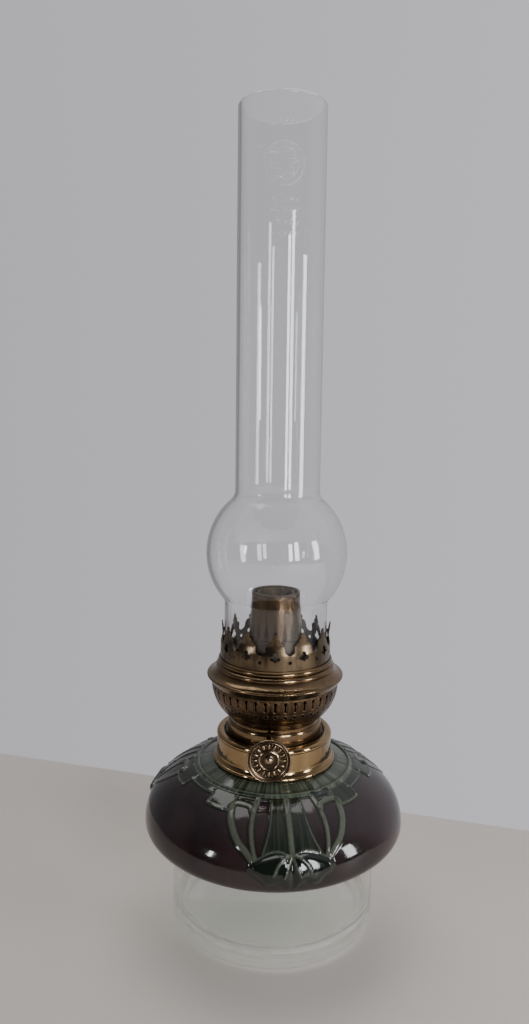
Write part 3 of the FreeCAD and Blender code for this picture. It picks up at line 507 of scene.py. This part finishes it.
# every raised field: its outline, its height in mm, and its glaze, from 0 brown by 1 green to 2 deep green
fields = {
    "panel": ([(0, -1), (8.4, -1), (9.0, 9), (9.5, 16), (10.6, 22), (12.2, 28), (0, 29)], 0.35, 1.0),
    "shoulderBand": ([(0, -2), (61, -2), (61, 4.2), (47.5, 4.4), (47.5, 1.5), (0, 1.5)], 0.25, 0.95),
    "wing": ([(32, -2), (47.5, -2), (47.5, 9.8), (32.4, 9.8), (31.8, 6)], 0.45, 0.95),
    "lintel": ([(17.8, -2), (32, -2), (32.0, 4), (26, 3.6), (21, 4.2), (18.4, 6)], 0.15, 1.8),
    "cup": ([(0, 27), (5, 26), (12, 28), (16.6, 30.5), (17.6, 33.5), (16.2, 36.6), (14.0, 37.6),
             (12.6, 38.6), (11, 40.6), (9, 41.2), (6.6, 40.6), (5.0, 39.6), (3.2, 40.8),
             (0, 41.6)], 1.7, 2.0),
}
# painted shade beside the stem, under the ridge, in the lintel's hollow and at the cup's foot, laid into
# the same layer as the pooled glaze: outline, and how strong
shades = {
    "besideStem": ([(1.7, 1.5), (3.7, 1.5), (3.5, 14), (3.2, 27), (1.7, 27)], 0.75),
    "underRidge": ([(1.6, -1), (8.6, -1), (8.8, 1.6), (1.6, 1.6)], 0.8),
    "lintelHollow": ([(18.6, -1), (31.4, -1), (31.6, 3.2), (26, 2.8), (20.5, 3.4)], 0.85),
    "cupFoot": ([(0, 38.4), (6, 37.8), (12, 36.6), (16.4, 35), (15, 38), (9, 41), (5, 40),
                 (0, 41.6)], 0.6),
}
# how softly all this ends, in mm inside an outline or outwards from a rib
reliefEdges = {
    "thinField": (-0.3, 0.9), "fullField": (-0.3, 3.4), "glaze": (-0.35, 0.35), "shade": (-0.3, 0.6),
    "poolShadeOutside": (1.3, 0.2), "poolShadeInside": (-1.0, 0.0), "rib": (-0.1, 0.6), "slip": (-0.1, 0.45),
}
reliefSizes = {"fullFrom": 1, "ribRise": 0.5, "ribWidth": 1.2, "slipWidth": 1.1, "ribPoolShade": (0.5, 1.5)}


def insideOf(outline, side, down):
    # even-odd test for every point at once
    inside = np.zeros(side.shape, bool)
    corners = np.array(outline, float)
    for (x0, y0), (x1, y1) in zip(corners, np.roll(corners, -1, 0)):
        if y0 == y1:
            continue
        crosses = (y0 > down) != (y1 > down)
        inside ^= crosses & (side < x0 + (x1 - x0) * (down - y0) / (y1 - y0))
    return inside


def distanceTo(line, side, down, reach):
    # distance in mm to a line, and how far along it the nearest spot is
    best = np.full(side.shape, 1e9)
    along = np.zeros(side.shape)
    count = len(line) - 1
    for k, (first, second) in enumerate(zip(line, line[1:])):
        runX, runY = (second[0] - first[0]) * reach, second[1] - first[1]
        gapX, gapY = side * reach - first[0] * reach, down - first[1]
        t = np.clip((gapX * runX + gapY * runY) / (runX ** 2 + runY ** 2), 0, 1)
        gap = np.hypot(gapX - t * runX, gapY - t * runY)
        nearer = gap < best
        best = np.where(nearer, gap, best)
        along = np.where(nearer, (k + t) / count, along)
    return best, along


def soft(value, low, high):
    t = np.clip((value - low) / (high - low), 0, 1)
    return t * t * (3 - 2 * t)


def depthInside(outline, side, down, reach):
    # distance in mm to the nearest edge, less than 0 outside
    edge = smoothLine(outline + outline[:1], 3)
    gap, _ = distanceTo(edge, side, down, reach)
    return np.where(insideOf(edge, side, down), gap, -gap)


def glazeRelief(side, down, radius):
    # height in mm, how much of each glaze there is, and how dark pooled glaze and painted shade make it, at
    # points beside a stem
    side = np.abs(side)
    reach = radius * math.pi / 180            # mm for a degree at that height
    height, green, deep, pale, pooledAndShaded = [np.zeros(side.shape) for _ in range(5)]
    edges, sizes = reliefEdges, reliefSizes
    for outline, rise, tone in fields.values():
        depth = depthInside(outline, side, down, reach)
        share = soft(depth, *edges["glaze"])
        edge = edges["thinField" if rise < sizes["fullFrom"] else "fullField"]
        height = np.maximum(height, rise * soft(depth, *edge))
        green = np.maximum(green, share * min(tone, 1.0))
        deep = np.maximum(deep, share * max(tone - 1.0, 0.0))
        # a dark band at the foot of every field, partly pooled glaze and partly painted shade
        pooledAndShaded = np.maximum(pooledAndShaded, soft(-depth, *edges["poolShadeOutside"]) * soft(depth, *edges["poolShadeInside"]))
    # painted shade, from the shades table
    for outline, strength in shades.values():
        depth = depthInside(outline, side, down, reach)
        pooledAndShaded = np.maximum(pooledAndShaded, soft(depth, *edges["shade"]) * strength)
    for points, startWidth, endWidth in ribs.values():
        gap, along = distanceTo(smoothLine(points), side, down, reach)
        width = startWidth + (endWidth - startWidth) * along
        height = height + sizes["ribRise"] * soft(width * sizes["ribWidth"] - gap, *edges["rib"])
        pale = np.maximum(pale, soft(width * sizes["slipWidth"] - gap, *edges["slip"]))
        # a dark band beside every rib, partly pooled glaze and partly painted shade
        near, far = sizes["ribPoolShade"]
        pooledAndShaded = np.maximum(pooledAndShaded, soft(gap, width, width + near) * soft(width + far - gap, 0, 1.0))
    return height, green, deep, pale, pooledAndShaded


brushSizes = {"around": 24.0, "along": 45.0}
glazeLayers = ["greenGlaze", "deepGlaze", "paleSlip", "pooledGlazeAndShade"]


def glazeFinish():
    f = Finish("fontGlaze")
    green, deep, pale, pooledAndShaded = [f.attribute(label) for label in glazeLayers]
    angle, _, height = f.polar()
    clouds = f.noise(38, 5, 0.6)
    freckles = f.noise(650, 3, 0.6)
    # brush strokes run down the font, so their pattern is drawn out along its outline
    around = [f.maths(kind, angle) * brushSizes["around"] for kind in ("COSINE", "SINE")]
    lengthwise = {0: around[0], 1: around[1], 2: height * brushSizes["along"]}
    brushed = f.noise(1.0, 3, 0.55, f.node("CombineXYZ", {}, lengthwise))
    body = f.mix(f.span(clouds, 0.35, 0.72), (0.026, 0.0148, 0.0155), (0.0105, 0.0062, 0.0068))
    body = f.mix(f.span(freckles, 0.60, 0.78, 0.0, 0.35), body, (0.006, 0.004, 0.005))
    leaf = f.mix(f.span(brushed, 0.32, 0.70), (0.018, 0.030, 0.018), (0.115, 0.130, 0.092))
    night = f.mix(f.span(brushed, 0.3, 0.8), (0.003, 0.006, 0.004), (0.010, 0.026, 0.014))
    slip = f.mix(f.span(freckles + clouds, 0.7, 1.3), (0.060, 0.074, 0.050), (0.100, 0.108, 0.080))
    colour = f.mix(green, body, leaf)
    colour = f.mix(deep, colour, night)
    # pooled glaze and painted shade darken the colour here
    colour = f.mix(pooledAndShaded * 0.82, colour, (0.005, 0.007, 0.005))
    colour = f.mix(pale * 0.8, colour, slip)
    dimples = f.noise(260, 2, 0.5)
    f.set(Base_Color=colour, Roughness=f.span(freckles, 0.2, 0.8, 0.06, 0.13),
          Specular_IOR_Level=0.5, Coat_Weight=0.2, Coat_Roughness=0.04,
          Normal=f.bump(dimples + clouds * 1.5, 0.12 * mm, 0.35))
    return f


# foot and inside, as radius and height in mm, in the order the outline takes them
fontInside = {
    "wall": 4.5, "footFrom": -12, "footOverlap": 4, "seat": 54.6,
    "base": [(54.6, 43.2), (46.6, 43.2), (46.6, 39.7), (42.1, 39.7), (42.1, 43.2), (0, 43.2)],
    "oilFloor": [(0, 47.9), (44, 47.9), (50, 48.2), (56, 49.6), (60, 51.6), (62.4, 53.6)],
    "bellyFrom": 2, "shoulderTrim": 3, "shoulderTo": 86.7,
    "mouth": [(22, 80.73), (22, 90), (27, 90), (27, 85.2), (32.1, 85.2), (34.4, 84.5), (36.8, 83.75)],
    "ridge": [(39.1, 83.04), (39.35, 83.35), (39.7, 83.58), (40, 83.65), (40.3, 83.5), (40.65, 83),
              (40.9, 82.48), (41.6, 82.21)],
}


def makeFont():
    inside = fontInside
    outer = [fontProfile(fontSizes["rowStep"] * k) for k in range(1, fontSizes["rows"] + 1)]
    foot = alongArc(underArc, inside["footFrom"], -underArc["sweep"], 5)
    soleEnd = math.degrees(math.acos((inside["seat"] - soleArc["centre"][0]) / soleArc["radius"]))
    sole = alongArc(soleArc, -underArc["sweep"] - inside["footOverlap"], -soleEnd, 5)
    belly = alongArc(bellyArc, inside["bellyFrom"], bellyArc["sweep"], 5, inside["wall"])
    shoulder = alongArc(shoulderArc, bellyArc["sweep"] + inside["shoulderTrim"], inside["shoulderTo"], 7,
                        inside["wall"])
    outline = outer + foot + sole + inside["base"] + inside["oilFloor"] + belly + shoulder
    outline = outline + inside["mouth"] + inside["ridge"] + outer[:1]
    profile = [(r * mm, 0, z * mm) for r, z in outline]
    return spinProfile("fontGlazed", profile, fontSizes["columns"])


def fromCentre(arc, radius, height):
    # angle in degrees and distance in mm from an arc's centre
    out, up = radius - arc["centre"][0], height - arc["centre"][1]
    return np.degrees(np.arctan2(up, out)), np.hypot(out, up)


# points inside these limits, in mm, can't be seen and stay plain
unseen = {"shoulder": 50.5, "belly": 18, "bellyAbove": 54, "sole": 60, "foot": 49, "mouth": 31}
# the flat ring inside the ridge, in mm: the pale slip on the ridge, and where the groove and the ground
# round the collar are painted darker
ringGlaze = {"green": 0.95, "ridge": 40, "ridgeHalf": 0.6, "slip": 0.9,
             "groove": 38.3, "grooveHalf": 1.3, "collar": 34, "pooledAndShaded": 0.6}


def reliefOn(piece):
    mesh = piece.data
    spots = np.zeros(len(mesh.vertices) * 3)
    mesh.vertices.foreach_get("co", spots)
    spots = spots.reshape(-1, 3)
    radius = np.hypot(spots[:, 0], spots[:, 1]) / mm
    height = spots[:, 2] / mm
    turn = np.degrees(np.arctan2(spots[:, 0], -spots[:, 1])) - fontSizes["ornamentTurn"]
    pitch = 360 / fontSizes["ornaments"]
    side = (turn + pitch / 2) % pitch - pitch / 2
    # distance down the outside, found from the angle on the arc that the point belongs to
    onShoulder, shoulderReach = fromCentre(shoulderArc, radius, height)
    onBelly, bellyReach = fromCentre(bellyArc, radius, height)
    onUnder, _ = fromCentre(underArc, radius, height)
    shoulderDown = shoulderArc["radius"] * np.radians(shoulderStart - onShoulder)
    bellyDown = shoulderLength + bellyArc["radius"] * np.radians(bellyArc["sweep"] - onBelly)
    underDown = shoulderLength + bellyLength - underArc["radius"] * np.radians(onUnder)
    low = onShoulder < bellyArc["sweep"]
    down = np.where(height < bellyArc["centre"][1], underDown, np.where(low, bellyDown, shoulderDown))
    innerBelly, innerSole = bellyReach < unseen["belly"], radius < unseen["sole"]
    innerWall = np.where(height > unseen["bellyAbove"], innerBelly, innerSole)
    innerShoulder = (onShoulder > bellyArc["sweep"]) & (shoulderReach < unseen["shoulder"])
    hidden = innerShoulder | ((onShoulder <= bellyArc["sweep"]) & innerWall)
    hidden = hidden | (height < unseen["foot"]) | (radius < unseen["mouth"])
    rise, green, deep, pale, pooledAndShaded = glazeRelief(side, down, radius)
    flat = radius < ridgeFoot + 0.05
    onRidge = np.abs(radius - ringGlaze["ridge"]) < ringGlaze["ridgeHalf"]
    dark = (np.abs(radius - ringGlaze["groove"]) < ringGlaze["grooveHalf"]) | (radius < ringGlaze["collar"])
    rise = np.where(hidden | flat | (down > 46), 0, rise)
    green = np.where(flat & ~hidden, ringGlaze["green"], green)
    pale = np.where(flat, np.where(onRidge, ringGlaze["slip"], 0.0), pale)
    pooledAndShaded = np.where(flat, np.where(dark, ringGlaze["pooledAndShaded"], 0.0), pooledAndShaded)
    lift = piece.vertex_groups.new(name="relief")
    tallest = rise.max()
    for index in np.nonzero(rise > 0.01)[0]:
        lift.add([int(index)], float(rise[index] / tallest), "REPLACE")
    for label, share in zip(glazeLayers, (green, deep, pale, pooledAndShaded)):
        layer = mesh.attributes.new(label, "FLOAT", "POINT")
        layer.data.foreach_set("value", np.where(hidden, 0, share).astype(np.float32))
    raised = piece.modifiers.new("relief", "DISPLACE")
    raised.vertex_group = "relief"
    raised.strength = tallest * mm
    raised.mid_level = 0.0
    bpy.context.view_layer.objects.active = piece
    bpy.ops.object.modifier_apply(modifier=raised.name)
    piece.vertex_groups.clear()


font = makeFont()
reliefOn(font)
finishPiece(font, glazeFinish(), "font", 50, ("font_body",))
print("font glazed:", len(font.data.polygons), "faces")


crownSizes = {
    "prongs": 12, "turn": -1.0, "hinge": 148.2, "waist": 152.2, "radius": 28.3,
    # how far each prong leans out at its foot and at its neck, and sideways, in degrees
    "leans": (0.5, -0.3, 1.0, 5.0, -0.5, 0.8, 1.5, -0.4, 0.6, 2.6, 1.2, 0.0),
    "curls": (0.0, 1.0, -1.0, 3.0, 0.0, 2.0, 0.0, 1.0, 0.0, 1.5, -1.0, 0.5),
    "sideways": (0.0, 1.5, -1.0, 3.0, 0.0, -1.5, 1.0, 0.0, 2.0, -3.5, 1.0, 0.0),
}


def swing(spot, along, height, axis, angle):
    # turns a spot on a prong about its hinge at this height
    hinge = along * crownSizes["radius"] * mm
    hinge.z = crownSizes[height] * mm
    return hinge + Matrix.Rotation(math.radians(angle), 3, axis) @ (spot - hinge)


def bendCrown():
    piece = bpy.data.objects.new("crownBent", bpy.data.objects["crown"].data.copy())
    bpy.context.scene.collection.objects.link(piece)
    takeUp(piece)
    bpy.ops.object.mode_set(mode="EDIT")
    bpy.ops.mesh.select_all(action="SELECT")
    bpy.ops.mesh.remove_doubles(threshold=0.002 * mm)
    bpy.ops.object.mode_set(mode="OBJECT")
    if piece.data.has_custom_normals:
        bpy.ops.mesh.customdata_custom_splitnormals_clear()
    pitch = math.tau / crownSizes["prongs"]
    start = math.radians(crownSizes["turn"] - 90)
    for corner in piece.data.vertices:
        spot = corner.co
        prong = round((math.atan2(spot.y, spot.x) - start) / pitch) % crownSizes["prongs"]
        outward = start + prong * pitch
        across = Vector((-math.sin(outward), math.cos(outward), 0))
        along = Vector((math.cos(outward), math.sin(outward), 0))
        for height, angles in (("waist", "curls"), ("hinge", "leans")):
            if spot.z > crownSizes[height] * mm:
                spot = swing(spot, along, height, across, crownSizes[angles][prong])
        if corner.co.z > crownSizes["waist"] * mm:
            spot = swing(spot, along, "waist", along, crownSizes["sideways"][prong])
        corner.co = spot
    finishPiece(piece, brassOf["crownBrass"], "burner", 30, ("crown",))


bendCrown()
print("crown bent")


knobSizes = {
    "axis": (-3.0, 103.6),      # across and up, in mm
    "steps": 96,
    "petals": 16, "petalRing": 6.75, "petalOut": 46.72, "petalSize": (0.62, 0.42, 1.35),
    "pearls": 16, "pearlRing": 6.75 + 0.9, "pearlOut": 46.74, "pearlSize": (0.33, 0.33, 0.33),
}
# the knob's outline from its middle outwards and along its back: radius, and distance from the lamp's axis
knobOutline = [
    (0.0, 48.15), (0.5, 48.12), (1.0, 48.0), (1.5, 47.75), (1.85, 47.35), (1.95, 46.95),
    (2.3, 46.72), (3.4, 46.62), (3.95, 46.75), (4.15, 47.05), (4.45, 47.22), (4.8, 47.1), (5.0, 46.8),
    (5.3, 46.68), (8.1, 46.68), (8.4, 46.8), (8.6, 47.15), (8.9, 47.3), (9.2, 47.15), (9.35, 46.95),
    (9.6, 47.1), (9.75, 47.5), (9.95, 47.85), (10.15, 47.95), (10.38, 47.75), (10.5, 47.3), (10.45, 46.8),
    (10.2, 46.35), (9.9, 46.1), (9.5, 46.0), (1.0, 46.0),
]


def onKnob(radius, turn, out):
    # a place on the knob's face: radius, degrees from its top, distance from the lamp's axis
    across, up = knobSizes["axis"]
    angle = math.radians(turn)
    return ((across + radius * math.sin(angle)) * mm, -out * mm, (up + radius * math.cos(angle)) * mm)


def addGrain(name, size, radius, turn, out):
    deselectAll()
    bpy.ops.mesh.primitive_uv_sphere_add(segments=12, ring_count=8, radius=1 * mm, location=(0, 0, 0))
    grain = bpy.context.object
    grain.name = name
    grain.scale = size
    bpy.ops.object.transform_apply(location=False, rotation=False, scale=True)
    grain.rotation_euler = (0, math.radians(turn), 0)
    grain.location = onKnob(radius, turn, out)
    bpy.ops.object.transform_apply(location=True, rotation=True, scale=True)
    return grain


def joinPieces(pieces, name):
    deselectAll()
    for piece in pieces:
        piece.select_set(True)
    bpy.context.view_layer.objects.active = pieces[0]
    bpy.ops.object.join()
    joined = bpy.context.object
    joined.name = name
    return joined


def makeKnob():
    profile = [onKnob(radius, 90, out) for radius, out in knobOutline]
    across, up = knobSizes["axis"]
    face = spinProfile("knobFace", profile, knobSizes["steps"], (0, -1, 0), (across * mm, 0, up * mm))
    finishPiece(face, brassOf["knobBrass"], "spindle", 40, ("knob_disc", "knob_rivet"))
    grains = []
    for kind, offset in (("petal", 0), ("pearl", 0.5)):    # pearls stand between the petals
        size, ring, out = [knobSizes[kind + part] for part in ("Size", "Ring", "Out")]
        for k in range(knobSizes[kind + "s"]):
            turn = (k + offset) * 360 / knobSizes[kind + "s"]
            grains.append(addGrain(kind, size, ring, turn, out))
    petals = joinPieces(grains, "knobPetals")
    finishPiece(petals, brassOf["knobBrass"], "spindle", 60)


makeKnob()
print("knob made")


stageSizes = {
    "floor": (3.0, 1.6), "backEdge": (-0.0155, 0.1275), "floorTurn": -15.4,
    "cameraPlace": (-0.0065, -0.3843, 0.2619), "tilt": 6.925, "roll": 0.7, "lens": 26.6,
    "wall": (0.60, 0.585, 0.63), "roomAhead": (0.46, 0.455, 0.48), "roomBehind": (0.05, 0.048, 0.05),
    # from and to where the room brightens, and from and to how bright
    "roomRise": (-0.45, 0.5), "roomAcross": (-0.9, 0.5, 0.4, 1.1), "wallAcross": (-0.55, 0.5, 0.86, 1.06),
}


def makeFloor():
    # a broad table top whose far edge runs slantwise behind the lamp
    width, depth = stageSizes["floor"]
    turn = math.radians(stageSizes["floorTurn"])
    edgeX, edgeY = stageSizes["backEdge"]
    middle = (edgeX + math.sin(turn) * depth / 2, edgeY - math.cos(turn) * depth / 2, 0)
    deselectAll()
    bpy.ops.mesh.primitive_plane_add(size=1, location=middle, rotation=(0, 0, turn))
    floor = bpy.context.object
    floor.scale = (width, depth, 1)
    bpy.ops.object.transform_apply(location=True, rotation=True, scale=True)
    floor.name = "paleFloor"
    f = Finish("paleFloor")
    cloud = f.noise(6, 3, 0.5)
    f.set(Base_Color=f.mix(cloud, (0.56, 0.51, 0.465), (0.62, 0.57, 0.52)), Roughness=0.6)
    floor.data.materials.append(f.material)


def makeWorld():
    # a pale wall, seen directly or through glass; gloss sees a dim room on the camera's side
    room = Finish("softRoom", ("worlds", "OutputWorld", "Background"))
    side, ahead, up = room.xyz(room.node("TexCoord", output=0))
    pale = room.span(ahead + up * 0.35, *stageSizes["roomRise"])
    around = room.mix(pale, stageSizes["roomBehind"], stageSizes["roomAhead"])
    around = room.mix(1.0, around, room.span(side, *stageSizes["roomAcross"]), "MULTIPLY")
    bounced = room.node("LightPath", output="Glossy Depth") + room.node("LightPath", output="Diffuse Depth")
    straight = room.maths("LESS_THAN", bounced, 0.5)
    seen = room.largest(room.node("LightPath", output="Is Camera Ray"),
                        room.node("LightPath", output="Is Transmission Ray") * straight)
    # painted light: the wall is darker to the left and brighter to the right, where the windows are
    wall = room.mix(1.0, stageSizes["wall"], room.span(side, *stageSizes["wallAcross"]), "MULTIPLY")
    room.set(Color=room.mix(seen, around, wall), Strength=1.0)
    bpy.context.scene.world = room.material


def addLight(name, place, aim, size, power, colour=(1, 1, 1)):
    lamp = bpy.data.lights.new(name, "AREA")
    lamp.shape = "RECTANGLE"
    lamp.size, lamp.size_y = size
    lamp.energy = power
    lamp.color = colour
    holder = bpy.data.objects.new(name, lamp)
    holder.location = place
    holder.rotation_euler = (Vector(aim) - Vector(place)).to_track_quat("-Z", "Y").to_euler()
    bpy.context.scene.collection.objects.link(holder)


def makeCamera():
    lens = bpy.data.cameras.new("camera")
    lens.lens = stageSizes["lens"]
    lens.sensor_width = 36
    lens.clip_start = 0.01
    holder = bpy.data.objects.new("camera", lens)
    holder.location = stageSizes["cameraPlace"]
    holder.rotation_euler = (math.radians(90 - stageSizes["tilt"]), 0, 0)
    holder.rotation_euler.rotate_axis("Z", math.radians(stageSizes["roll"]))
    bpy.context.scene.collection.objects.link(holder)
    bpy.context.scene.camera = holder


# name, place, what it faces, width and height, watts and colour
windowPanes = [
    ("paneNear", (0.36, -0.93, 0.35), (0, 0, 0.16), (0.10, 0.44), 3.4, (0.95, 0.97, 1.0)),
    ("paneNext", (0.52, -0.85, 0.37), (0, 0, 0.16), (0.12, 0.48), 3.6, (0.95, 0.97, 1.0)),
    ("paneFar", (0.90, -0.42, 0.33), (0, 0, 0.16), (0.16, 0.42), 3.8, (0.97, 0.98, 1.0)),
    ("paneLeft", (-0.80, -0.62, 0.36), (0, 0, 0.16), (0.06, 0.20), 1.3, (0.95, 0.97, 1.0)),
    ("lampAbove", (-0.1, 0.5, 1.4), (0, 0, 0.1), (1.2, 1.0), 8.0, (1.0, 0.985, 0.97)),
]
makeFloor()
makeWorld()
for pane in windowPanes:
    addLight(*pane)
makeCamera()
print("stage set")
